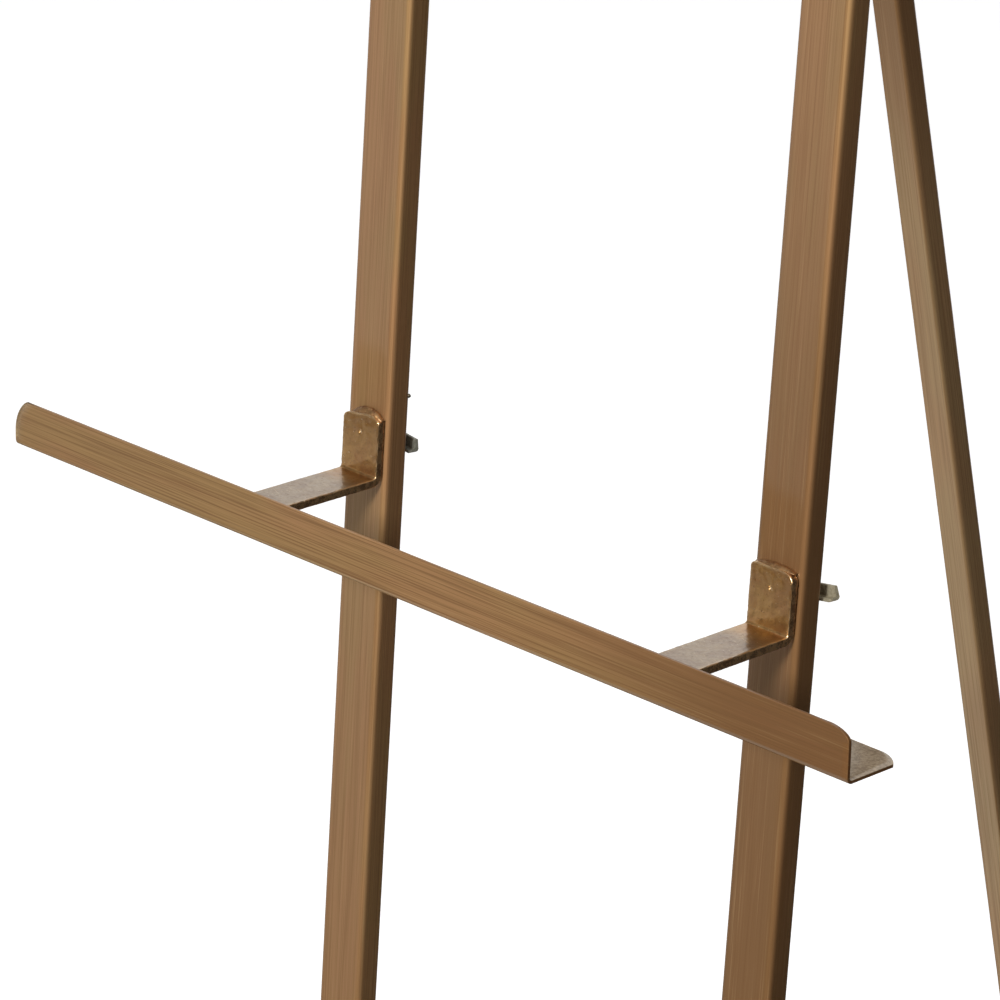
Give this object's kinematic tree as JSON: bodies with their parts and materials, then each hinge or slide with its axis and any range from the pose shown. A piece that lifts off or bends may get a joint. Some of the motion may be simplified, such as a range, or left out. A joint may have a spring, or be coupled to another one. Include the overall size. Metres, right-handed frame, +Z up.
{
  "type": "display easel",
  "caption": "Floor-standing metal display easel: two parallel front tubes, a full-width angle ledge on bent flat-bar brackets, and one rear leg hinged at the top crossbar.",
  "frame": {"origin": "on the floor, under the middle of the bounding box", "axes": "+Z up, front (the side a picture faces) towards -Y, +X to the right of someone looking at the front"},
  "size_m": [0.55, 0.542, 1.5107],
  "materials": {
    "brushed_brass": "steel tube with a brushed, lacquered antique-brass finish",
    "worn_brass": "hand-worked flat bar and sheet with a worn antique-brass finish",
    "dark_steel": "dark bronze hardware",
    "black_plastic": "matt black",
    "nylon": "natural white nylon",
    "rubber": "matt black"
  },
  "bodies": {
    "front_frame": {"left_front_leg": "brushed_brass", "right_front_leg": "brushed_brass", "top_crossbar": "brushed_brass", "lower_crossbar": "brushed_brass", "left_ledge_bracket": "worn_brass", "right_ledge_bracket": "worn_brass", "ledge": "worn_brass", "hinge_bracket": "worn_brass", "hinge_rivet_left": "worn_brass", "hinge_rivet_right": "worn_brass", "left_stud": "dark_steel", "right_stud": "dark_steel", "hinge_bolt": "dark_steel", "hinge_washer": "dark_steel", "hinge_cap_nut": "dark_steel", "hinge_spacer_left": "nylon", "hinge_spacer_right": "nylon", "left_leg_cap": "black_plastic", "right_leg_cap": "black_plastic", "left_foot": "rubber", "right_foot": "rubber"},
    "rear_leg": {"rear_leg": "brushed_brass", "rear_leg_cap": "black_plastic", "rear_foot": "rubber"},
    "left_washer": {"left_washer": "dark_steel"},
    "right_washer": {"right_washer": "dark_steel"},
    "left_turn_lever": {"left_turn_lever": "dark_steel"},
    "right_turn_lever": {"right_turn_lever": "dark_steel"}
  },
  "joints": [
    {"name": "rear_leg_fold", "type": "hinge", "parent": "front_frame", "child": "rear_leg", "pos_m": [0, -0.08907, 1.45052], "axis": [1, 0, 0], "range_deg": [-17.1, 0]},
    {"name": "left_washer_travel", "type": "slide", "parent": "front_frame", "child": "left_washer", "axis": [0, 0.9981, -0.061], "range_m": [0, 0.0021]},
    {"name": "left_lever_turn", "type": "hinge", "parent": "left_washer", "child": "left_turn_lever", "pos_m": [-0.1355, -0.16551, 0.67574], "axis": [0, 0.9981, -0.061], "range_deg": [0, 720]},
    {"name": "right_washer_travel", "type": "slide", "parent": "front_frame", "child": "right_washer", "axis": [0, 0.9981, -0.061], "range_m": [0, 0.0021]},
    {"name": "right_lever_turn", "type": "hinge", "parent": "right_washer", "child": "right_turn_lever", "pos_m": [0.1355, -0.16551, 0.67574], "axis": [0, 0.9981, -0.061], "range_deg": [0, 720]}
  ],
  "couplings": [
    {"joint": "left_washer_travel", "follows": "left_lever_turn", "m_per_rad": 0.00015915},
    {"joint": "right_washer_travel", "follows": "right_lever_turn", "m_per_rad": 0.00015915}
  ]
}
